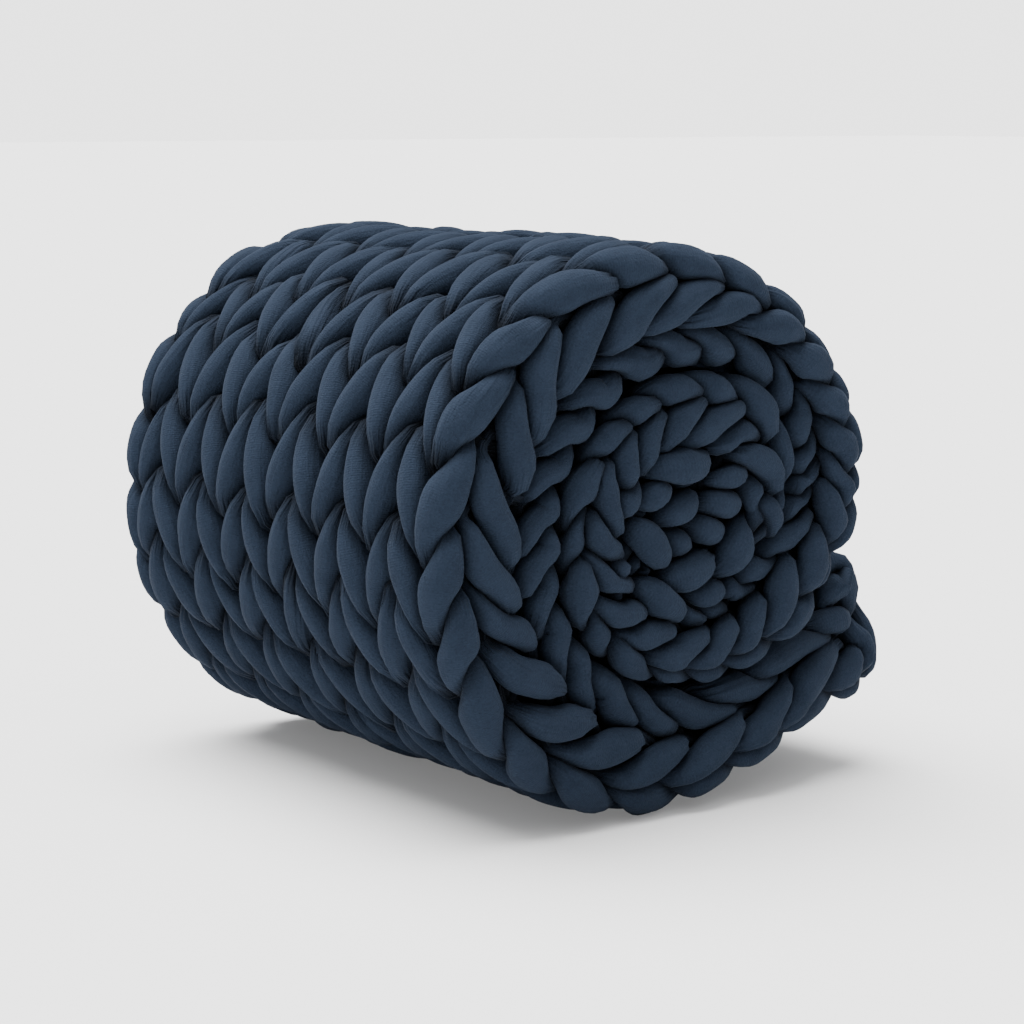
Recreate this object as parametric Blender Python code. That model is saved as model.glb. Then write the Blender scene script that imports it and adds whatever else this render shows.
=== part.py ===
"""Weighted blanket of chunky stuffed-tube knit, rolled up and lying on its side.

Metres, +Z up.  The roll's axis runs along Y and its origin is the middle of the
rectangle it stands on.  The blanket is one knitted panel, so it is one solid: a
closed lattice whose cross-section is the wound spiral with the loose end lying
out at +X, with every knit stitch of the outer turn and of both ends raised in
the lattice points.
"""
import math

import bmesh
import bpy
import numpy as np

# Roll
ROLL_LENGTH = 0.480          # over the chains of stitches on both ends
CORE_X = 0.0060              # centre of the winding, right of the flat spot
CORE_Z = 0.235               # height of the centre of the winding
TAIL_TIP_ANGLE = -23.5       # direction of the loose end's tip from the core, degrees
TAIL_SETBACK = 0.040         # the loose end is drawn in from the front by this much
TAIL_SETBACK_TURN = 48.0     # degrees of winding over which it is drawn in
FLAT_MIDDLE = -0.012         # X of the middle of the flat spot the roll rests on
FLAT_HALF_WIDTH = 0.046      # half its width
FLAT_HALF_LENGTH = 0.208     # half its length

# Winding of the panel's outer face, from the tip of the loose end to the core.
# Columns: degrees turned, radius from the core in metres.
WINDING = (
    (0.0, 0.248), (4.0, 0.270), (8.0, 0.281), (12.5, 0.285), (17.5, 0.275), (23.0, 0.254),
    (29.0, 0.238), (37.0, 0.228), (53.0, 0.224), (66.5, 0.233), (111.5, 0.253),
    (156.5, 0.253), (201.5, 0.235), (246.5, 0.211), (291.5, 0.195), (336.5, 0.192),
    (350.0, 0.182), (364.0, 0.170), (381.5, 0.162), (398.5, 0.152), (426.5, 0.141),
    (471.5, 0.142), (516.5, 0.130), (561.5, 0.120), (606.5, 0.117), (651.5, 0.124),
    (696.5, 0.108), (741.5, 0.075), (786.5, 0.061), (831.5, 0.050), (876.5, 0.040),
    (921.5, 0.028), (964.0, 0.018),
)
FULL_TURN = 360.0

# Knit
ROW_PITCH = 0.0635           # one knit row, measured along the winding
SAMPLES_PER_ROW = 5          # lattice points along one row
BODY_COLUMNS = 6             # V columns across the roll between its two end chains
STITCH_SLANT = 0.30          # how far a V opens along the winding, in rows
PINCH = 0.011                # how far a stitch dips where it goes under the next

# Section across one V column: place in the column, dip below the crown in metres,
# and which way the V leans there (+1 towards the core).
COLUMN_PROFILE = (
    (0.00, 0.015, -1.0), (0.25, 0.000, 0.0), (0.50, 0.013, 1.0), (0.75, 0.000, 0.0),
)

# Section across one turn on an end, from its outer face inwards: share of the turn's
# thickness, dip below the end plane in metres, lean of the stitches there.
END_PROFILE = (
    (0.00, 0.030, -1.0), (0.02, 0.014, 0.0), (0.17, 0.003, 0.0), (0.32, 0.015, 1.0),
    (0.47, 0.000, 0.0), (0.67, 0.020, -1.0), (0.82, 0.010, 0.0),
)
TAIL_BULGE = 9.0             # degrees by which the rounded tip stands past its corners
CORE_RADIUS = 0.035          # the stitches flatten out this near the core
CORE_TIP_RADIUS = 0.006      # the innermost stitch ends this far from the core's middle
NOTCH_FADE = 24.0            # and stop leaning this many degrees from the notch
GROOVE = 0.004               # a dip deeper than this belongs to a groove, not a crown

COLOUR = (0.020, 0.034, 0.055, 1.0)
ROUGHNESS = 0.85

TURNED, RADIUS = np.array(WINDING).T
LAST_TURNED = TURNED[-1]


def smooth_step(value):
    """Ease from 0 to 1 as value goes from 0 to 1."""
    value = min(max(value, 0.0), 1.0)
    return value * value * (3.0 - 2.0 * value)


def winding_radius(turned):
    """Radius of the panel's outer face at this angle, by a Catmull-Rom curve."""
    if turned >= LAST_TURNED:
        return float(RADIUS[-1])
    if turned <= 0.0:
        return float(RADIUS[0])
    left = int(np.searchsorted(TURNED, turned, side="right")) - 1
    spans = [max(left - 1, 0), left, left + 1, min(left + 2, len(TURNED) - 1)]
    angle = TURNED[spans]
    radius = RADIUS[spans]
    width = angle[2] - angle[1]
    slope_left = (radius[2] - radius[0]) / max(angle[2] - angle[0], 1e-6) * width
    slope_right = (radius[3] - radius[1]) / max(angle[3] - angle[1], 1e-6) * width
    t = (turned - angle[1]) / width
    start = (2 * t ** 3 - 3 * t ** 2 + 1) * radius[1] + (t ** 3 - 2 * t ** 2 + t) * slope_left
    end = (3 * t ** 2 - 2 * t ** 3) * radius[2] + (t ** 3 - t ** 2) * slope_right
    return float(start + end)


def row_angles():
    """Angles turned at every lattice step, equally spaced along the winding."""
    fine = np.arange(0.0, LAST_TURNED + 0.5, 0.5)
    radius = np.array([winding_radius(angle) for angle in fine])
    length = np.concatenate(([0.0], np.cumsum(np.radians(0.5) * (radius[1:] + radius[:-1]) / 2)))
    step = ROW_PITCH / SAMPLES_PER_ROW
    count = int(length[-1] / step)
    angles = np.interp(np.arange(count + 1) * step, length, fine)
    return list(angles[:-1]) + [LAST_TURNED]


def section_point(turned, radius):
    """X and Z of a point of the cross-section, never below the surface it stands on."""
    direction = math.radians(TAIL_TIP_ANGLE - turned)
    return CORE_X + radius * math.cos(direction), CORE_Z + radius * math.sin(direction)


def stitch_dip(row, lean):
    """Dip along a chain of stitches: none at a crown, PINCH where a stitch ends."""
    phase = row - STITCH_SLANT * lean
    return PINCH * (1.0 - abs(math.sin(math.pi * phase)) ** 0.6)


def away_from_core(turned):
    """0 within CORE_RADIUS of the core, 1 from twice as far out."""
    return smooth_step(winding_radius(turned) / CORE_RADIUS - 1.0)


def lean_shift(turned, lean):
    """Angle by which a leaning V moves a point, fading to 0 at the notch and the core."""
    to_notch = min(turned, abs(FULL_TURN - turned))
    fade = smooth_step(to_notch / NOTCH_FADE) * away_from_core(turned)
    row_angle = math.degrees(ROW_PITCH / max(winding_radius(turned), CORE_RADIUS))
    return STITCH_SLANT * lean * fade * row_angle


def front_setback(turned):
    """How far the panel's front edge is drawn back near the loose end."""
    return TAIL_SETBACK * smooth_step(1.0 - turned / TAIL_SETBACK_TURN)


def width_fraction(y):
    """0 at the front end plane, 1 at the back."""
    return 0.5 + y / ROLL_LENGTH


def placed(x, y, z, turned):
    """Lattice point in space: tail drawn in, bottom pressed flat."""
    y += front_setback(turned) * (1.0 - width_fraction(y))
    on_flat = abs(x - FLAT_MIDDLE) < FLAT_HALF_WIDTH and z < 0.5 * CORE_Z
    if on_flat and abs(y) < FLAT_HALF_LENGTH:
        z = 0.0
    return x, y, max(z, 0.0)


class Lattice:
    """The one closed surface: outer turn, tip of the loose end and both ends."""

    def __init__(self):
        self.mesh = bmesh.new()
        self.angles = row_angles()
        self.outer_count = sum(angle < FULL_TURN for angle in self.angles) + 1
        self.angles[self.outer_count - 1] = FULL_TURN

    def vertex(self, x, y, z, turned):
        return self.mesh.verts.new(placed(x, y, z, turned))

    def face(self, corners):
        """One face through these corners, left out where it has no area."""
        unique = list(dict.fromkeys(corners))
        if len(unique) > 2:
            self.mesh.faces.new(unique)

    def body_vertex(self, index, y, dip, lean):
        """A point of the outer turn's face."""
        turned = self.angles[index]
        if dip < GROOVE:
            dip += stitch_dip(index / SAMPLES_PER_ROW, lean)
        at_notch = smooth_step(1.0 - abs(FULL_TURN - turned) / NOTCH_FADE)
        radius = winding_radius(turned) - dip * (1.0 - at_notch)
        x, z = section_point(turned + lean_shift(turned, lean), radius)
        return self.vertex(x, y, z, turned)

    def tip_vertices(self, y, dip):
        """Points of the rounded tip, from the notch side to the outer face."""
        line = []
        for share, _, _ in reversed(END_PROFILE[1:]):
            bulge = TAIL_BULGE * math.sin(math.pi * share)
            radius = self.turn_radius(0.0, share)
            x, z = section_point(-bulge, radius - 0.3 * dip)
            line.append(self.vertex(x, y, z, 0.0))
        return line

    @staticmethod
    def turn_radius(turned, share):
        """Radius at this share of the turn's thickness, measured from its outer face."""
        outer = winding_radius(turned)
        return outer - share * (outer - winding_radius(turned + FULL_TURN))

    def section_loop(self, y, dip, lean):
        """One closed cross-section of the roll at this Y."""
        loop = [self.body_vertex(i, y, dip, lean) for i in range(self.outer_count)]
        return loop + self.tip_vertices(y, dip)

    def end_line(self, side, profile_row):
        """One line of an end's lattice, from the tip of the loose end to the core."""
        share, dip, lean = profile_row
        line = []
        for index, turned in enumerate(self.angles[:-1]):
            depth = dip
            if share in CROWN_SHARES:
                depth += 0.8 * stitch_dip(index / SAMPLES_PER_ROW, 0.0)
            depth = PINCH + (depth - PINCH) * away_from_core(turned)
            leaning = turned + lean_shift(turned, lean)
            x, z = section_point(leaning, self.turn_radius(leaning, share))
            y = side * (ROLL_LENGTH / 2 - depth)
            line.append(self.vertex(x, y, z, turned))
        return line

    def join_loops(self, first, second):
        """Faces between two cross-sections with the same number of points."""
        count = len(first)
        for i in range(count):
            j = (i + 1) % count
            self.face([first[i], first[j], second[j], second[i]])

    def join_lines(self, first, second):
        """Faces between two open lines with the same number of points."""
        for i in range(len(first) - 1):
            self.face([first[i], first[i + 1], second[i + 1], second[i]])

    def zip_lines(self, outer, inner):
        """Faces between a turn's inner line and the next turn's outer line."""
        i = j = 0
        while i < len(outer) - 1:
            inner_left = j < len(inner) - 1
            if inner_left and inner[j + 1][0] - FULL_TURN < outer[i + 1][0]:
                self.face([outer[i][1], inner[j + 1][1], inner[j][1]])
                j += 1
            else:
                self.face([outer[i][1], outer[i + 1][1], inner[j][1]])
                i += 1

    def close_end(self, side, rim_loop):
        """Braided spiral face on one end, joined to the rim's cross-section."""
        core_x, core_z = section_point(LAST_TURNED, CORE_TIP_RADIUS)
        core = self.vertex(core_x, side * (ROLL_LENGTH / 2 - PINCH), core_z, LAST_TURNED)
        lines = [self.end_line(side, row) + [core] for row in END_PROFILE[1:]]
        inner_outer_face = self.end_line(side, END_PROFILE[0])[self.outer_count:]
        outer_face = rim_loop[:self.outer_count] + inner_outer_face + [core]
        tip = rim_loop[self.outer_count:]
        for line, vertex in zip(lines, reversed(tip)):
            self.mesh.verts.remove(line[0])
            line[0] = vertex
        lines.insert(0, outer_face)
        for first, second in zip(lines, lines[1:]):
            self.join_lines(first, second)
        with_angles = [list(zip(self.angles, line)) for line in (lines[-1], outer_face)]
        self.zip_lines(with_angles[0], with_angles[1][self.outer_count - 1:])


CROWN_SHARES = {share for share, dip, lean in END_PROFILE if lean == 0.0}


def column_lines():
    """Y, dip and lean of every lattice line across the roll, rim to rim."""
    half = ROLL_LENGTH / 2 - END_PROFILE[0][1]
    pitch = 2 * half / BODY_COLUMNS
    lines = []
    for column in range(BODY_COLUMNS):
        for place, dip, lean in COLUMN_PROFILE:
            lines.append((-half + (column + place) * pitch, dip, lean))
    lines.append((half, COLUMN_PROFILE[0][1], COLUMN_PROFILE[0][2]))
    return lines


def knit_material():
    """Dark navy jersey."""
    material = bpy.data.materials.new("navy_jersey")
    material.use_nodes = True
    shader = material.node_tree.nodes["Principled BSDF"]
    shader.inputs["Base Color"].default_value = COLOUR
    shader.inputs["Roughness"].default_value = ROUGHNESS
    shader.inputs["Metallic"].default_value = 0.0
    material.diffuse_color = COLOUR
    return material


def rolled_blanket():
    """Build the blanket's solid and put it in the scene."""
    lattice = Lattice()
    loops = [lattice.section_loop(y, dip, lean) for y, dip, lean in column_lines()]
    for first, second in zip(loops, loops[1:]):
        lattice.join_loops(first, second)
    lattice.close_end(-1, loops[0])
    lattice.close_end(1, loops[-1])
    unused = [vertex for vertex in lattice.mesh.verts if not vertex.link_faces]
    bmesh.ops.delete(lattice.mesh, geom=unused, context="VERTS")
    bmesh.ops.triangulate(lattice.mesh, faces=lattice.mesh.faces[:])
    bmesh.ops.recalc_face_normals(lattice.mesh, faces=lattice.mesh.faces[:])
    mesh = bpy.data.meshes.new("rolled_blanket")
    lattice.mesh.to_mesh(mesh)
    lattice.mesh.free()
    mesh.shade_smooth()
    mesh.materials.append(knit_material())
    blanket = bpy.data.objects.new("rolled_blanket", mesh)
    bpy.context.collection.objects.link(blanket)
    return blanket


def main():
    for old in list(bpy.data.objects):
        bpy.data.objects.remove(old, do_unlink=True)
    rolled_blanket()


main()
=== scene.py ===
"""Looks of the rolled weighted blanket: its stuffed jersey yarn, stitch by stitch, and the studio.

Every stitch is laid out on the flat panel (across its columns, along its rows, into its
thickness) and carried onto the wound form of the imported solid.  The yarn is then swept round
its path and pressed flat wherever it meets the next strand.
"""
import math

import bpy
import numpy as np
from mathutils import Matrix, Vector


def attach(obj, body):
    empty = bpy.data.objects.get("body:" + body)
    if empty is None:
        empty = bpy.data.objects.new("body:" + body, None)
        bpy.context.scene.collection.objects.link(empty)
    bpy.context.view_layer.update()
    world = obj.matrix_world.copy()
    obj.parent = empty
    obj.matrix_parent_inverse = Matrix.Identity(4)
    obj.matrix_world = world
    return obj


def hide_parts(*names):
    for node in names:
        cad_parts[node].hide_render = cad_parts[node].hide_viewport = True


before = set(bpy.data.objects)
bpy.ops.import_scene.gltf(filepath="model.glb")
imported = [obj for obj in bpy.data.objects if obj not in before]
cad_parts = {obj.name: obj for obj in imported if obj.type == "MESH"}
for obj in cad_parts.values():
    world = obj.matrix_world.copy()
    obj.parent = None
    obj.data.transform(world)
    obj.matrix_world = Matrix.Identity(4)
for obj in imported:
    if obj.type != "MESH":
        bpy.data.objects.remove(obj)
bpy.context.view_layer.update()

# Roll, as in the solid.  Metres and degrees.
ROLL_LENGTH = 0.480
CORE_X = 0.006               # the core in the cross-section
CORE_Z = 0.235
TAIL_TIP_ANGLE = -23.5       # direction of the loose end's tip from the core
TAIL_SETBACK = 0.040         # how far the loose end lies back on the near side
TAIL_SETBACK_TURN = 48.0     # and where that has faded out
TAIL_BULGE = 9.0             # how far the loose end's face bulges
FULL_TURN = 360.0

# Winding of the panel's outer face, from the tip of the loose end to the core.
# Columns: degrees turned, radius from the core in metres.
WINDING = (
    (0.0, 0.248), (4.0, 0.270), (8.0, 0.281), (12.5, 0.285), (17.5, 0.275), (23.0, 0.254),
    (29.0, 0.238), (37.0, 0.228), (53.0, 0.224), (66.5, 0.233), (111.5, 0.253),
    (156.5, 0.253), (201.5, 0.235), (246.5, 0.209), (291.5, 0.191), (336.5, 0.184),
    (350.0, 0.173), (364.0, 0.164), (381.5, 0.159), (398.5, 0.152), (426.5, 0.141),
    (471.5, 0.142), (516.5, 0.130), (561.5, 0.120), (606.5, 0.117), (651.5, 0.124),
    (696.5, 0.108), (741.5, 0.075), (786.5, 0.061), (831.5, 0.050), (876.5, 0.040),
    (921.5, 0.028), (964.0, 0.018),
)
TURNED, RADIUS = np.array(WINDING).T
TURNED_STEP = 0.5            # degrees between the points that the winding is drawn with
TIP_POINTS = 40              # and the number of them down the face of the loose end
CURVE_STEP = 0.002           # spacing of the points that it is then worked out at
CURVE_SOFTNESS = 3           # smoothing of its corners, in those points
ROOM_SOFTNESS = 5            # and of the room between its turns
TIP_ROOM = 0.070             # thickness that the end stitches have round the tip
CORE_ROOM = 0.050            # and at the least towards the core

# Middles of the knit rows: the first lies on the end of the tail, this far from the notch,
# and the rest are degrees turned round the core.  Rows are crowded at the tail and inside.
FIRST_ROW = 0.044
ROWS_TURNED = (
    7, 18, 32, 45, 60, 77, 92, 107, 121, 136, 149, 164, 181, 196, 211, 229, 246, 262, 279,
    295, 308, 321, 334, 346, 360, 378, 398, 417, 435, 454, 472, 491, 511, 531, 551, 572,
    594, 618, 644, 672, 704,
)
LAST_WHOLE_ROW = 384.0       # rows beyond this are hidden but for their ends
HIDDEN_OVERLAP = 0.1         # which start this far inside the rims: 2 pi is one column

# Knit
BODY_COLUMNS = 6             # columns across the roll between its two rims
END_COLUMNS = 2.0            # columns turned in onto each end: four legs of stitches
RIM_RADIUS = 0.030           # the panel turns onto the ends round this
YARN_RADIUS = 0.0188         # in the middle of a leg
STITCH_REACH = 1.48          # half a stitch's length, in rows
STITCH_SWING = 0.30          # how far its legs spread, in columns
STITCH_DEPTH = 0.034         # distance from the legs to the purl side
HOOK_START = 0.12            # where a leg starts to dive behind the next row: squared cosine
HOOK_SPAN = 0.45             # and how soon it is down
PINCHED = 0.68               # the yarn is this much thinner where stitches hook each other
PINCH_SPAN = 0.42            # squared cosine at which it is thinnest
WANDER_ACROSS = 0.05         # unevenness of the stitches: columns,
WANDER_REACH = 0.08          # share,
WANDER_ALONG = 0.004         # metres,
WANDER_DEPTH = 0.0015        # metres,
WANDER_THICKNESS = 0.05      # share
WANDER_KINDS = 6             # these five and the slack of the cloth, below
WANDER_MOST = 2.0            # the furthest that any goes, in those units
WANDER_SPARE = 10            # values drawn beyond a row's half stitches

# Stitches turned in onto the ends.  Columns here are counted from the rim.
END_BLEND = 0.5              # columns over which the body's stitches change to these
END_SHORTER = 0.10           # they are shorter by this share,
END_THICKER = 0.12           # of thicker yarn by this share of its radius,
END_FULLNESS = 0.62          # and less pinched by this share
INNERMOST_LEG = 1.17         # the columns that lie against the next turn
INWARDS_MOST = 1.1           # nothing goes further in than this share of the room
END_DEPTH = 0.93             # or deeper than this share of the rim's radius,
END_DEPTH_AT_RIM = 0.02      # and this much more at the rim, in metres
RECESS = 0.010               # the third legs lie this much deeper,
RECESS_START = 0.85          # from these columns
RECESS_SPAN = 0.35           # over so many
FOLD_BACK = 0.026            # and the fourth legs this much more,
FOLD_BACK_START = 1.40       # from these columns
FOLD_BACK_SPAN = 0.40        # over so many

# Tubes that the yarn is drawn as
PIECE_FIRST_ROWS = (0, 5, 10, 15, 20, 25, 34)
SAMPLES_PER_STITCH = 44
LEG_SAMPLING = 0.28          # crowds those samples where a leg shows
YARN_SIDES = 32
PRESS_CORNERS = 3.4          # how square the yarn is pressed
PRESS_REACH = 2.4            # strands further apart than this don't touch: yarn radii
OWN_REACH = 2.6              # and yarn isn't pressed by its own within this: yarn radii
PRESS_BATCH = 500            # samples worked out together
FAR_OFF = 1.0                # distance to the surface where nothing presses
LEAST_FACING = 1e-3          # cosine beyond which a neighbour is off to the side
THINNEST = 0.003             # least distance from the yarn's centre to its surface
SMOOTHING_PASSES = 2
TUBE_SHARE = 0.985           # tubes stop this share of the way to each other
FLOOR_GAP = 0.0005           # nothing lies lower

# Gathers of the cloth round the yarn
FOLD_LOBES = (5, 7, 9, 12)   # waves in one turn
FOLD_LENGTH = 0.040          # distance over which they change
FOLD_FAINT = 0.0004          # their height in the middle of a leg
FOLD_DEEP = 0.0030           # and what is added where the yarn is pinched,
FOLD_START = 0.05            # from this much pinch
FOLD_SPAN = 0.5              # over so much more
FOLD_LEVEL = 0.8             # taken off, so that they don't thicken the yarn
SLACK = 0.10                 # how far some legs are gathered over their whole length

# Legs of the stitches in the middle of an end, which curl too tightly for the winding.
# Columns: place from the core across and up, length seen, heading in degrees, thickness and
# how far it stands out.  All but the heading are in millimetres.
CORE_LEGS = (
    (-15, 40, 66, 5, 44, 0),
    (-37, 18, 34, 20, 30, 0),
    (-13, 5, 42, 20, 30, 0),
    (30, 6, 44, -5, 30, 0),
    (-42, -19, 58, -45, 34, 0),
    (-13, -22, 30, -20, 27, -2),
    (17, -14, 32, -20, 28, 0),
    (-2, -46, 62, 15, 33, 0),
    (46, -30, 56, 50, 34, 0),
    (-31, -65, 62, -35, 36, 0),
    (-74, -41, 62, -75, 36, 0),
    (-69, 15, 62, 55, 34, 0),
    (19, -65, 40, 10, 30, -4),
    (73, -1, 48, -60, 34, 0),
    (40, 27, 50, 12, 32, 0),
)
CORE_LEG_HIDDEN = 1.25       # whole length of such a leg, as a share of what is seen
CORE_LEG_FULLNESS = 1.28     # they are pressed from somewhat more than that thickness
CORE_LEG_PINCHED = 0.25      # and are thinner at their ends by this share
CORE_LEG_DIP = 0.022         # how deep their ends go
CORE_LEG_SAMPLES = 21

# Cloth.  Crease is how far the yarn is pressed in, as a share of its radius, and pinch is 1
# where stitches hook each other.  Noise scales are features in a metre.
DEEP_NAVY = (0.0100, 0.0152, 0.0260, 1.0)
PALE_NAVY = (0.0167, 0.0244, 0.0404, 1.0)
NAVY_RANGE = (0.3, 0.7)      # noise at which each of them is reached
MOTTLE_SCALE = 38.0          # broad unevenness of the dye
FLECK_SCALE = 620.0          # and fine grain of the thread
MOTTLE_SHARE = 0.5
FLECK_SHARE = 0.5
CREASE_PAINTED_SHADE = 0.12          # painted shade: what is left of the colour deep in the creases
CREASE_RANGE = (0.12, 0.50)  # crease at which the painted shade starts and is whole
HOOK_PAINTED_SHADE = 0.15            # painted shade where the yarn dives behind the next row
HOOK_RANGE = (0.30, 0.85)    # pinch at which that starts and is whole
ROUGHNESS = 0.9
SPECULAR = 0.05
SHEEN = 0.02
SHEEN_ROUGHNESS = 0.5
SHEEN_TINT = (0.55, 0.68, 0.90, 1.0)
PLEAT_SCALE = (16.0, 14.0, 1.0)  # fine pleats: waves round the yarn and along a metre
PLEAT_HEIGHT = 0.0042
PLEAT_SHARE = (0.4, 4.0)     # of that height, in the middle of a leg and where it is pinched
PLEAT_RANGE = (0.08, 0.50)   # pinch for the first and the second
TAUT_SHARE = 0.1             # what is left of the pleats where the yarn is pressed hard
TAUT_RANGE = (0.36, 0.62)    # crease at which that starts and is whole
COURSE_PITCH = 0.0018        # fine ribs across the jersey tube
COURSE_WANDER = 9.0          # how far they stray, in radians
COURSE_WANDER_SCALE = 90.0
FLECK_HEIGHT = 10.0          # grain of the thread beside the height of a rib
GRAIN_HEIGHT = 0.00007       # and the height of a rib

RANDOM = np.random.default_rng(11)


def smooth_step(value):
    value = np.clip(value, 0.0, 1.0)
    return value * value * (3.0 - 2.0 * value)


# ---------------------------------------------------------------- winding

def winding_radius(turned):
    """Radius of the panel's outer face at these angles, by a cubic curve through WINDING."""
    turned = np.clip(turned, TURNED[0], TURNED[-1])
    slope = np.gradient(RADIUS, TURNED)
    right = np.clip(np.searchsorted(TURNED, turned, side="right"), 1, len(TURNED) - 1)
    left = right - 1
    width = TURNED[right] - TURNED[left]
    t = (turned - TURNED[left]) / width
    value = (2 * t ** 3 - 3 * t ** 2 + 1) * RADIUS[left]
    value += (t ** 3 - 2 * t ** 2 + t) * width * slope[left]
    value += (3 * t ** 2 - 2 * t ** 3) * RADIUS[right]
    value += (t ** 3 - t ** 2) * width * slope[right]
    return value


def section_points(turned, radius):
    """X and Z of points of the cross-section."""
    direction = np.radians(TAIL_TIP_ANGLE - turned)
    x = CORE_X + radius * np.cos(direction)
    return np.stack([x, CORE_Z + radius * np.sin(direction)], axis=-1)


def softened(values, width):
    """Running average of a curve, twice, with its ends kept."""
    for _ in range(2):
        padded = np.pad(values, [(width, width)] + [(0, 0)] * (values.ndim - 1), mode="reflect",
                        reflect_type="odd")
        total = sum(padded[i:i + len(values)] for i in range(2 * width + 1))
        values = total / (2 * width + 1)
    return values


class Winding:
    """The panel's outer face in cross-section: from the notch, round the tip, in to the core."""

    def __init__(self):
        turned = np.arange(0.0, TURNED[-1], TURNED_STEP)
        share = np.linspace(1.0, 0.0, TIP_POINTS)[:-1]
        tip_radius = RADIUS[0] - share * (RADIUS[0] - winding_radius(FULL_TURN))
        tip = section_points(-TAIL_BULGE * np.sin(math.pi * share), tip_radius)
        points = np.concatenate([tip, section_points(turned, winding_radius(turned))])
        angles = np.concatenate([-share, turned])       # the tip's face is just before 0
        steps = np.linalg.norm(np.diff(points, axis=0), axis=1)
        length = np.concatenate([[0.0], np.cumsum(steps)])
        self.along = np.arange(0.0, length[-1], CURVE_STEP)
        even = [np.interp(self.along, length, column) for column in points.T]
        self.points = softened(np.stack(even, axis=-1), CURVE_SOFTNESS)
        tangent = np.gradient(self.points, axis=0)
        tangent = softened(tangent, CURVE_SOFTNESS)
        tangent /= np.linalg.norm(tangent, axis=1)[:, None]
        self.normals = np.stack([-tangent[:, 1], tangent[:, 0]], axis=-1)
        self.turned = np.interp(self.along, length, angles)
        room = winding_radius(self.turned) - winding_radius(self.turned + FULL_TURN)
        room = np.maximum(room, CORE_ROOM)
        at_tip = smooth_step(1.0 - self.turned / TAIL_SETBACK_TURN)
        self.room = softened(room + (TIP_ROOM - room) * at_tip, ROOM_SOFTNESS)

    def at(self, along):
        """Point, outward normal, degrees turned and room at these distances along the winding."""
        columns = (*self.points.T, *self.normals.T, self.turned, self.room)
        x, z, normal_x, normal_z, turned, room = (
            np.interp(along, self.along, column) for column in columns)
        point = np.stack([x, z], axis=-1)
        return point, np.stack([normal_x, normal_z], axis=-1), turned, room

    def along_of(self, turned):
        """Distance along the winding at this angle."""
        return np.interp(turned, self.turned, self.along)


WOUND = Winding()


def placed(across, along, depth):
    """Points of the flat panel carried onto the roll.

    across is in columns, 0 to BODY_COLUMNS between the rims; along is in metres from the
    notch; depth is in metres below the outer face.
    """
    point, normal, turned, room = WOUND.at(along)
    half = ROLL_LENGTH / 2 - RIM_RADIUS
    side = np.where(across < BODY_COLUMNS / 2, -1.0, 1.0)
    beyond = np.maximum(-across, across - BODY_COLUMNS)
    over_edge = np.clip(beyond / INNERMOST_LEG, 0.0, INWARDS_MOST) * room
    quarter = RIM_RADIUS * math.pi / 2
    bend = np.clip(over_edge / RIM_RADIUS, 0.0, math.pi / 2)
    into_end = np.maximum(over_edge - quarter, 0.0)
    on_body = smooth_step(1.0 - over_edge / quarter)
    deepest = END_DEPTH * RIM_RADIUS + END_DEPTH_AT_RIM * on_body
    depth = np.where(beyond > 0, np.minimum(depth, deepest), depth)
    depth = depth + RECESS * smooth_step((beyond - RECESS_START) / RECESS_SPAN)
    depth = depth + FOLD_BACK * smooth_step((beyond - FOLD_BACK_START) / FOLD_BACK_SPAN)
    inset = RIM_RADIUS - (RIM_RADIUS - depth) * np.cos(bend) + into_end
    outwards = half + (RIM_RADIUS - depth) * np.sin(bend)
    body_y = -half + across * 2 * half / BODY_COLUMNS
    y = np.where(beyond > 0, side * outwards, body_y)
    inset = np.where(beyond > 0, inset, depth)
    setback = TAIL_SETBACK * smooth_step(1.0 - turned / TAIL_SETBACK_TURN)
    y = y + setback * (0.5 - y / ROLL_LENGTH)
    flat = point - normal * inset[:, None]
    return np.stack([flat[:, 0], y, flat[:, 1]], axis=-1)


# ---------------------------------------------------------------- yarn paths

class Strand:
    """One length of yarn: its row, centre line, thickness and how far it is pinched."""

    def __init__(self, row, centres, radius, pinch):
        self.row = row
        self.centres = centres
        self.radius = radius
        self.pinch = pinch
        step = np.linalg.norm(np.diff(centres, axis=0), axis=1)
        self.arc = np.concatenate([[0.0], np.cumsum(step)])
        tangent = np.gradient(centres, axis=0)
        tangent = tangent / np.linalg.norm(tangent, axis=1)[:, None]
        self.side = self.untwisted(tangent)
        self.other = np.cross(tangent, self.side)

    @staticmethod
    def untwisted(tangent):
        """A direction across the yarn at every sample, carried along without twisting."""
        side = np.cross(tangent[0], (0.0, 0.0, 1.0))
        sides = []
        for direction in tangent:
            side = side - direction * (side @ direction)
            side = side / np.linalg.norm(side)
            sides.append(side)
        return np.array(sides)


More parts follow.
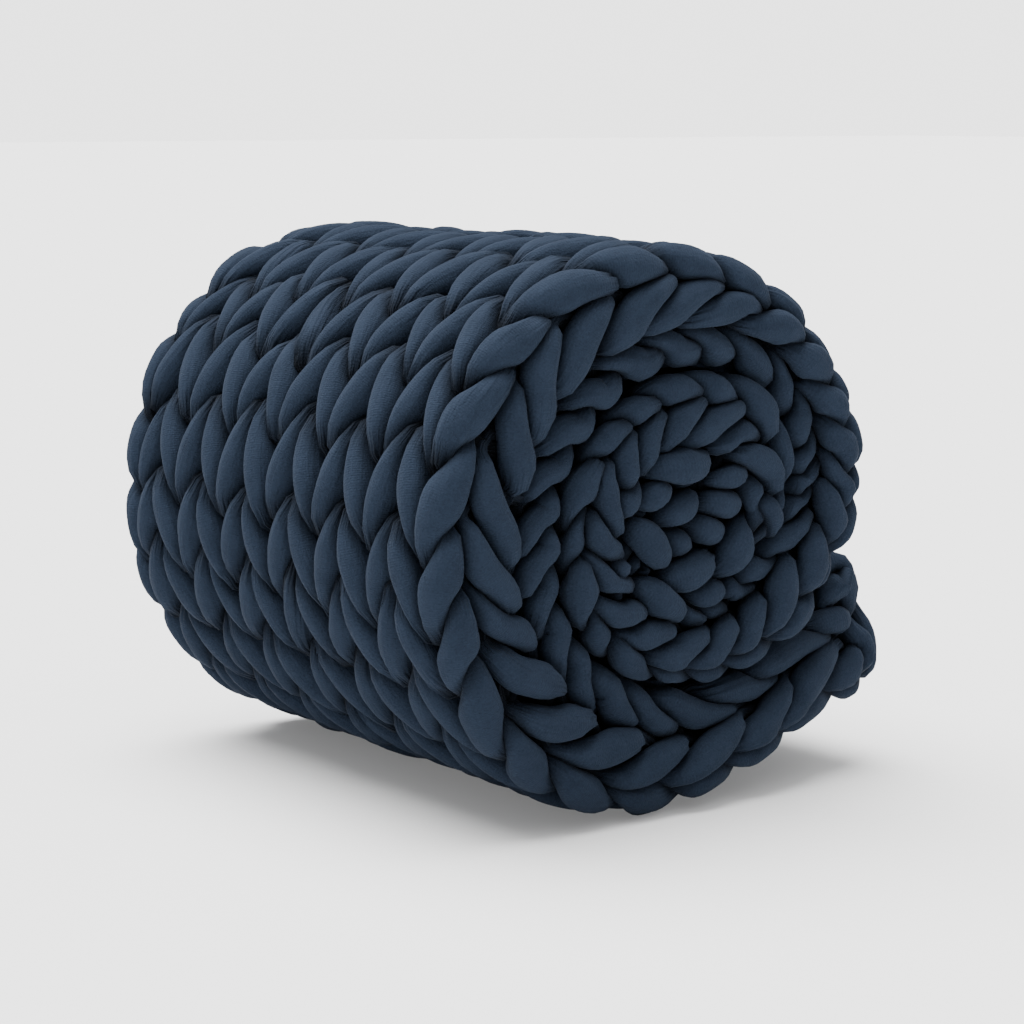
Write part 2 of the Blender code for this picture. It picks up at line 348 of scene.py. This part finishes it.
def knit_row(row, middle, pitch, first, last, jitter):
    """The yarn of one row between two phases of its stitches: 2 pi is one column."""
    count = int((last - first) / (2 * math.pi) * SAMPLES_PER_STITCH) + 1
    even = np.linspace(first, last, count)
    t = even + LEG_SAMPLING * np.sin(2 * even)
    wander = [smooth_wander(t / math.pi + 2 * END_COLUMNS, values) for values in jitter]
    across = t / (2 * math.pi) + STITCH_SWING * np.sin(2 * t) + WANDER_ACROSS * wander[0]
    on_end = smooth_step(np.maximum(-across, across - BODY_COLUMNS) / END_BLEND)
    reach = pitch * STITCH_REACH * (1.0 + WANDER_REACH * wander[1])
    reach = reach * (1.0 - END_SHORTER * on_end)
    along = middle + reach * np.cos(t) + WANDER_ALONG * wander[2]
    hooked = smooth_step((np.cos(t) ** 2 - HOOK_START) / HOOK_SPAN)
    pinch = smooth_step(np.cos(t) ** 2 / PINCH_SPAN) * (1.0 - END_FULLNESS * on_end)
    depth = YARN_RADIUS + STITCH_DEPTH * hooked + WANDER_DEPTH * wander[3]
    thickness = 1.0 - PINCHED * pinch + WANDER_THICKNESS * wander[4] + END_THICKER * on_end
    # Yarn that would run off either end of the panel turns back onto it.
    along = WOUND.along[-1] - np.abs(WOUND.along[-1] - np.abs(along))
    slack = np.clip(pinch + SLACK * np.maximum(wander[5], 0.0), 0.0, 1.0)
    return Strand(row, placed(across, along, depth), YARN_RADIUS * thickness, slack)


def smooth_wander(place, values):
    """Smooth curve through random values one apart."""
    left = np.clip(place.astype(int), 0, len(values) - 2)
    return values[left] + (values[left + 1] - values[left]) * smooth_step(place - left)


def knitted_strands():
    """All the yarn: whole rows on the outer turn, and the ends of the rows inside it."""
    middles = np.concatenate([[FIRST_ROW], WOUND.along_of(np.array(ROWS_TURNED, float))])
    pitches = np.gradient(middles)
    turned = np.concatenate([[0.0], ROWS_TURNED])
    front = -2 * math.pi * END_COLUMNS
    rim = 2 * math.pi * BODY_COLUMNS
    back = 2 * math.pi * (BODY_COLUMNS + END_COLUMNS)
    half_stitches = int(2 * (BODY_COLUMNS + 2 * END_COLUMNS)) + WANDER_SPARE
    strands = []
    for row, (middle, pitch) in enumerate(zip(middles, pitches)):
        jitter = RANDOM.normal(0.0, 1.0, (WANDER_KINDS, half_stitches))
        jitter = jitter.clip(-WANDER_MOST, WANDER_MOST)
        if turned[row] < LAST_WHOLE_ROW:
            spans = [(front, back)]
        else:
            spans = [(front, HIDDEN_OVERLAP), (rim - HIDDEN_OVERLAP, back)]
        strands += [knit_row(row, middle, pitch, *span, jitter) for span in spans]
    return strands + core_strands(len(middles))


def core_strands(row):
    """The yarn that fills the middle of both ends."""
    strands = []
    for side in (-1.0, 1.0):
        for x, z, length, heading, thickness, out in CORE_LEGS:
            t = np.linspace(-1.0, 1.0, CORE_LEG_SAMPLES)
            heading = math.radians(heading)
            run = t * length / 2000 * CORE_LEG_HIDDEN
            x_line = CORE_X + x / 1000 + run * math.cos(heading)
            z_line = CORE_Z + z / 1000 + run * math.sin(heading)
            inset = YARN_RADIUS - out / 1000 + CORE_LEG_DIP * t ** 2
            y_line = side * (ROLL_LENGTH / 2 - inset)
            radius = thickness / 2000 * CORE_LEG_FULLNESS * (1.0 - CORE_LEG_PINCHED * t ** 2)
            centres = np.stack([x_line, y_line, z_line], axis=-1)
            strands.append(Strand(row, centres, radius, t ** 2))
    return strands


# ---------------------------------------------------------------- pressing strands together

def pressed_radii(strands):
    """Distance from the yarn's centre to its surface, round every sample of all the strands.

    Between two strands the surface stops part of the way, by their thickness, so that
    neighbours lie flat on each other.  The directions that the distances are measured in, and
    the place where each strand's samples start, come with it.
    """
    centres = np.concatenate([s.centres for s in strands])
    side = np.concatenate([s.side for s in strands])
    other = np.concatenate([s.other for s in strands])
    arc = np.concatenate([s.arc for s in strands])
    radius = np.concatenate([s.radius for s in strands])
    owner = np.concatenate([np.full(len(s.arc), i) for i, s in enumerate(strands)])
    turn = np.arange(YARN_SIDES) * 2 * math.pi / YARN_SIDES
    directions = side[:, None] * np.cos(turn)[:, None] + other[:, None] * np.sin(turn)[:, None]
    reach = PRESS_REACH * YARN_RADIUS
    own_reach = OWN_REACH * YARN_RADIUS
    limit = np.full((len(centres), YARN_SIDES), FAR_OFF)
    square = (centres ** 2).sum(axis=1)
    for start in range(0, len(centres), PRESS_BATCH):
        batch = slice(start, start + PRESS_BATCH)
        gap = square[batch, None] + square[None] - 2 * centres[batch] @ centres.T
        other_strand = owner[batch, None] != owner[None]
        further_on = np.abs(arc[batch, None] - arc[None]) > own_reach
        mine, theirs = np.nonzero((gap < reach ** 2) & (other_strand | further_on))
        if not len(mine):
            continue
        offset = centres[theirs] - centres[start + mine]
        distance = np.linalg.norm(offset, axis=1)
        share = radius[start + mine] / (radius[start + mine] + radius[theirs])
        facing = np.einsum("kij,kj->ki", directions[start + mine], offset / distance[:, None])
        stop = (distance * share)[:, None] / np.maximum(facing, LEAST_FACING)
        firsts = np.flatnonzero(np.diff(mine, prepend=-1))
        limit[start + mine[firsts]] = np.minimum.reduceat(stop, firsts, axis=0)
    limit = np.maximum(limit, THINNEST)
    radii = radius[:, None] ** -PRESS_CORNERS + limit ** -PRESS_CORNERS
    radii = radii ** (-1.0 / PRESS_CORNERS)
    return radii, directions, np.cumsum([0] + [len(s.arc) for s in strands])


def smoothed_ring(radii):
    """Even out the radii a little along the yarn and round it."""
    for _ in range(SMOOTHING_PASSES):
        radii = 0.5 * radii + 0.25 * (np.roll(radii, 1, axis=1) + np.roll(radii, -1, axis=1))
        inner = 0.5 * radii[1:-1] + 0.25 * (radii[:-2] + radii[2:])
        radii = np.concatenate([radii[:1], inner, radii[-1:]])
    return radii


def gathers(strand):
    """Height of the cloth's gathers round every sample: sharp creases between round ridges."""
    place = strand.arc / FOLD_LENGTH
    turn = np.arange(YARN_SIDES) * 2 * math.pi / YARN_SIDES
    total = np.zeros((len(place), YARN_SIDES))
    for lobes in FOLD_LOBES:
        swing = RANDOM.normal(0.0, 1.0, (2, int(place[-1]) + 2))
        total += smooth_wander(place, swing[0])[:, None] * np.cos(lobes * turn)
        total += smooth_wander(place, swing[1])[:, None] * np.sin(lobes * turn)
    deepened = smooth_step((strand.pinch[:, None] - FOLD_START) / FOLD_SPAN)
    height = (FOLD_FAINT + FOLD_DEEP * deepened) * strand.radius[:, None] / YARN_RADIUS
    return height * (np.abs(total) / math.sqrt(len(FOLD_LOBES)) - FOLD_LEVEL)


def tube_mesh(name, parts):
    """One mesh of several strands, each a closed tube.

    The UVs are the share of a turn round the yarn and the metres along it.
    """
    vertices, faces, uvs, pinches, creases = [], [], [], [], []
    base = 0
    for strand, points in parts:
        count, sides = points.shape[:2]
        grid = base + np.arange(count * sides).reshape(count, sides)
        low, high = grid[:-1], grid[1:]
        quads = np.stack([low, np.roll(low, -1, 1), np.roll(high, -1, 1), high], axis=-1)
        vertices.append(points.reshape(-1, 3))
        faces += quads.reshape(-1, 4).tolist()
        faces.append(grid[0, ::-1].tolist())
        faces.append(grid[-1].tolist())
        u = np.arange(sides) / sides
        corners = np.stack(np.broadcast_arrays(u[None], strand.arc[:, None]), axis=-1)
        left, upper_left = corners[:-1], corners[1:]
        right, upper_right = left + [1.0 / sides, 0.0], upper_left + [1.0 / sides, 0.0]
        uvs.append(np.stack([left, right, upper_right, upper_left], axis=2).reshape(-1, 2))
        uvs += [corners[0, ::-1], corners[-1]]
        creases.append(strand.crease.ravel())
        pinches.append(np.repeat(strand.pinch, sides))
        base += count * sides
    mesh = bpy.data.meshes.new(name)
    mesh.from_pydata(np.concatenate(vertices), [], faces)
    layer = mesh.uv_layers.new(name="yarn")
    layer.data.foreach_set("uv", np.concatenate(uvs).astype(np.float32).ravel())
    for title, values in (("pinch", pinches), ("crease", creases)):
        layer = mesh.attributes.new(title, "FLOAT", "POINT")
        layer.data.foreach_set("value", np.concatenate(values).astype(np.float32))
    mesh.shade_smooth()
    return mesh


def build_blanket(material):
    """The pieces of the blanket, each the yarn of some rows."""
    strands = knitted_strands()
    radii, directions, firsts = pressed_radii(strands)
    shaped = []
    for strand, start, end in zip(strands, firsts, firsts[1:]):
        ring = smoothed_ring(radii[start:end]) * TUBE_SHARE
        strand.crease = 1.0 - ring / YARN_RADIUS
        ring = ring + gathers(strand)
        points = strand.centres[:, None] + directions[start:end] * ring[..., None]
        points[..., 2] = np.maximum(points[..., 2], FLOOR_GAP)
        shaped.append((strand, points))
    next_firsts = PIECE_FIRST_ROWS[1:] + (math.inf,)
    for number, (first, stop) in enumerate(zip(PIECE_FIRST_ROWS, next_firsts), start=1):
        group = [part for part in shaped if first <= part[0].row < stop]
        name = f"knit_rows_{number:02d}"
        piece = bpy.data.objects.new(name, tube_mesh(name, group))
        piece.data.materials.append(material)
        bpy.context.collection.objects.link(piece)
        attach(piece, "root")
        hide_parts("rolled_blanket")


# ---------------------------------------------------------------- material

def node(tree, kind, inputs=None, **settings):
    """New node with these settings and with its inputs linked or set."""
    made = tree.nodes.new("ShaderNode" + kind)
    for name, value in settings.items():
        setattr(made, name, value)
    for name, value in (inputs or {}).items():
        if isinstance(value, bpy.types.NodeSocket):
            tree.links.new(value, made.inputs[name])
        else:
            made.inputs[name].default_value = value
    return made


def maths(tree, operation, *values):
    return node(tree, "Math", dict(enumerate(values)), operation=operation).outputs[0]


def mapped(tree, value, between, low, high):
    """The value, between these two limits, turned into a number from low to high."""
    ranged = node(tree, "MapRange", {"Value": value, "From Min": between[0],
                                     "From Max": between[1], "To Min": low, "To Max": high})
    return ranged.outputs["Result"]


def jersey_material():
    """Navy jersey: ribs, grain and faint mottle, pleats where it is pinched, and painted shade
    that darkens the creases and the pinched places.
    """
    material = bpy.data.materials.new("navy_jersey")
    material.use_nodes = True
    tree = material.node_tree
    shader = tree.nodes["Principled BSDF"]
    shader.inputs["Roughness"].default_value = ROUGHNESS
    shader.inputs["Specular IOR Level"].default_value = SPECULAR
    shader.inputs["Sheen Weight"].default_value = SHEEN
    shader.inputs["Sheen Roughness"].default_value = SHEEN_ROUGHNESS
    shader.inputs["Sheen Tint"].default_value = SHEEN_TINT

    yarn = node(tree, "UVMap", uv_map="yarn").outputs["UV"]
    pinch = node(tree, "Attribute", attribute_name="pinch").outputs["Fac"]
    crease = node(tree, "Attribute", attribute_name="crease").outputs["Fac"]
    place = node(tree, "TexCoord").outputs["Object"]
    flecks = node(tree, "TexNoise", {"Vector": place, "Scale": FLECK_SCALE, "Detail": 2.0})
    flecks = flecks.outputs["Fac"]

    colour = jersey_colour(tree, place, flecks, pinch, crease)
    tree.links.new(colour, shader.inputs["Base Color"])
    normal = jersey_normal(tree, yarn, place, flecks, pinch, crease)
    tree.links.new(normal, shader.inputs["Normal"])
    return material


def jersey_colour(tree, place, flecks, pinch, crease):
    """Mottled navy, with painted shade: darker in the creases and where the yarn dives."""
    mottle = node(tree, "TexNoise", {"Vector": place, "Scale": MOTTLE_SCALE, "Detail": 5.0,
                                     "Roughness": 0.6})
    both = maths(tree, "MULTIPLY", mottle.outputs["Fac"], MOTTLE_SHARE)
    shade = maths(tree, "MULTIPLY_ADD", flecks, FLECK_SHARE, both)
    ramp = mapped(tree, shade, NAVY_RANGE, 0.0, 1.0)
    colour = node(tree, "Mix", {"Factor": ramp}, data_type="RGBA")
    colour.inputs[6].default_value = DEEP_NAVY
    colour.inputs[7].default_value = PALE_NAVY
    # Painted shade: the colour is darkened where the yarn is pressed in and where it dives behind
    # the next row.
    crease_painted_shade = mapped(tree, crease, CREASE_RANGE, 1.0, CREASE_PAINTED_SHADE)
    hook_painted_shade = mapped(tree, pinch, HOOK_RANGE, 1.0, HOOK_PAINTED_SHADE)
    painted_shade = maths(tree, "MULTIPLY", crease_painted_shade, hook_painted_shade)
    painted_shade_colour = node(tree, "VectorMath", {0: colour.outputs[2], "Scale": painted_shade}, operation="SCALE")
    return painted_shade_colour.outputs[0]


def jersey_normal(tree, yarn, place, flecks, pinch, crease):
    """Pleats along the yarn, then the ribs and grain of the jersey on them."""
    stretched = node(tree, "Mapping", {"Vector": yarn, "Scale": PLEAT_SCALE}).outputs["Vector"]
    pleats = node(tree, "TexNoise", {"Vector": stretched, "Scale": 1.0, "Detail": 2.0})
    creases = maths(tree, "ABSOLUTE", maths(tree, "SUBTRACT", pleats.outputs["Fac"], 0.5))
    folds = maths(tree, "MULTIPLY", creases, mapped(tree, pinch, PLEAT_RANGE, *PLEAT_SHARE))
    taut = mapped(tree, crease, TAUT_RANGE, 1.0, TAUT_SHARE)
    folds = maths(tree, "MULTIPLY", folds, taut)
    folded = node(tree, "Bump", {"Height": folds, "Distance": PLEAT_HEIGHT, "Strength": 1.0})

    along = node(tree, "SeparateXYZ", {"Vector": yarn}).outputs["Y"]
    courses = maths(tree, "MULTIPLY", along, 2 * math.pi / COURSE_PITCH)
    wander = node(tree, "TexNoise", {"Vector": place, "Scale": COURSE_WANDER_SCALE,
                                     "Detail": 3.0})
    courses = maths(tree, "MULTIPLY_ADD", wander.outputs["Fac"], COURSE_WANDER, courses)
    ribs = maths(tree, "SINE", courses)
    grain = maths(tree, "MULTIPLY_ADD", flecks, FLECK_HEIGHT, ribs)
    grained = node(tree, "Bump", {"Height": grain, "Distance": GRAIN_HEIGHT, "Strength": 1.0,
                                  "Normal": folded.outputs["Normal"]})
    return grained.outputs["Normal"]


# ---------------------------------------------------------------- studio

# Light from the surroundings.  Columns: height of the direction, 0 level to 1 overhead, and
# brightness.
SURROUNDINGS = (
    (0.00, 1.00), (0.05, 1.00), (0.09, 0.28), (0.35, 0.10), (0.70, 0.33), (1.00, 0.80),
)
SURROUNDINGS_STRENGTH = 2.95
FLOOR_SIZE = 80.0
FLOOR_WHITE = (0.71, 0.71, 0.71, 1.0)
FLOOR_GLOW = 0.16            # fills the shadow in, as the photo's is
LAMP_TOWARDS = (-0.12, 0.24, 0.95)
LAMP_STRENGTH = 10.5
LAMP_WIDTH = 60.0            # degrees across, for soft shadows


def studio():
    """Pale floor, even surroundings and one wide soft light."""
    world = bpy.data.worlds.new("studio")
    bpy.context.scene.world = world
    world.use_nodes = True
    tree = world.node_tree
    background = tree.nodes["Background"]
    background.inputs["Strength"].default_value = SURROUNDINGS_STRENGTH
    direction = node(tree, "TexCoord").outputs["Generated"]
    height = node(tree, "SeparateXYZ", {"Vector": direction}).outputs["Z"]
    ramp = node(tree, "ValToRGB", {"Fac": height})
    stops = ramp.color_ramp.elements
    while len(stops) < len(SURROUNDINGS):
        stops.new(0.5)
    for stop, (position, brightness) in zip(stops, SURROUNDINGS):
        stop.position = position
        stop.color = (brightness, brightness, brightness, 1.0)
    tree.links.new(ramp.outputs["Color"], background.inputs["Color"])

    bpy.ops.mesh.primitive_plane_add(size=FLOOR_SIZE, location=(0.0, 0.0, 0.0))
    floor = bpy.context.object
    floor.name = "studio_floor"
    material = bpy.data.materials.new("studio_white")
    material.use_nodes = True
    paint = material.node_tree.nodes["Principled BSDF"]
    paint.inputs["Base Color"].default_value = FLOOR_WHITE
    paint.inputs["Roughness"].default_value = 1.0
    paint.inputs["Specular IOR Level"].default_value = 0.0
    paint.inputs["Emission Color"].default_value = (1.0, 1.0, 1.0, 1.0)
    paint.inputs["Emission Strength"].default_value = FLOOR_GLOW
    floor.data.materials.append(material)

    data = bpy.data.lights.new("softbox", "SUN")
    data.energy = LAMP_STRENGTH
    data.angle = math.radians(LAMP_WIDTH)
    light = bpy.data.objects.new("softbox", data)
    light.rotation_euler = Vector(LAMP_TOWARDS).to_track_quat("Z", "Y").to_euler()
    bpy.context.collection.objects.link(light)


# Camera
IMAGE_SIZE = 1024
VIEW_AZIMUTH = -36.2         # degrees from the front, round to the right
VIEW_ELEVATION = 8.3
VIEW_DISTANCE = 2.2
VIEW_TARGET = (-0.024, -0.020, 0.225)
FOCAL_LENGTH = 2661.0        # pixels of an image 1024 wide
VIEW_CENTRE = (500.7, 498.3)  # where the lens axis meets that image, from its top left
SENSOR_WIDTH = 36.0          # millimetres


def camera():
    """The camera at the photo's angle, as fitted to the photo's outline."""
    azimuth, elevation = math.radians(VIEW_AZIMUTH), math.radians(VIEW_ELEVATION)
    back = Vector((math.sin(azimuth) * math.cos(elevation),
                   -math.cos(azimuth) * math.cos(elevation), math.sin(elevation)))
    data = bpy.data.cameras.new("camera")
    data.sensor_width = SENSOR_WIDTH
    data.lens = SENSOR_WIDTH * FOCAL_LENGTH / IMAGE_SIZE
    data.shift_x = (IMAGE_SIZE / 2 - VIEW_CENTRE[0]) / IMAGE_SIZE
    data.shift_y = (VIEW_CENTRE[1] - IMAGE_SIZE / 2) / IMAGE_SIZE
    eye = bpy.data.objects.new("camera", data)
    eye.location = Vector(VIEW_TARGET) + back * VIEW_DISTANCE
    eye.rotation_euler = back.to_track_quat("Z", "Y").to_euler()
    bpy.context.collection.objects.link(eye)
    bpy.context.scene.camera = eye


build_blanket(jersey_material())
studio()
camera()
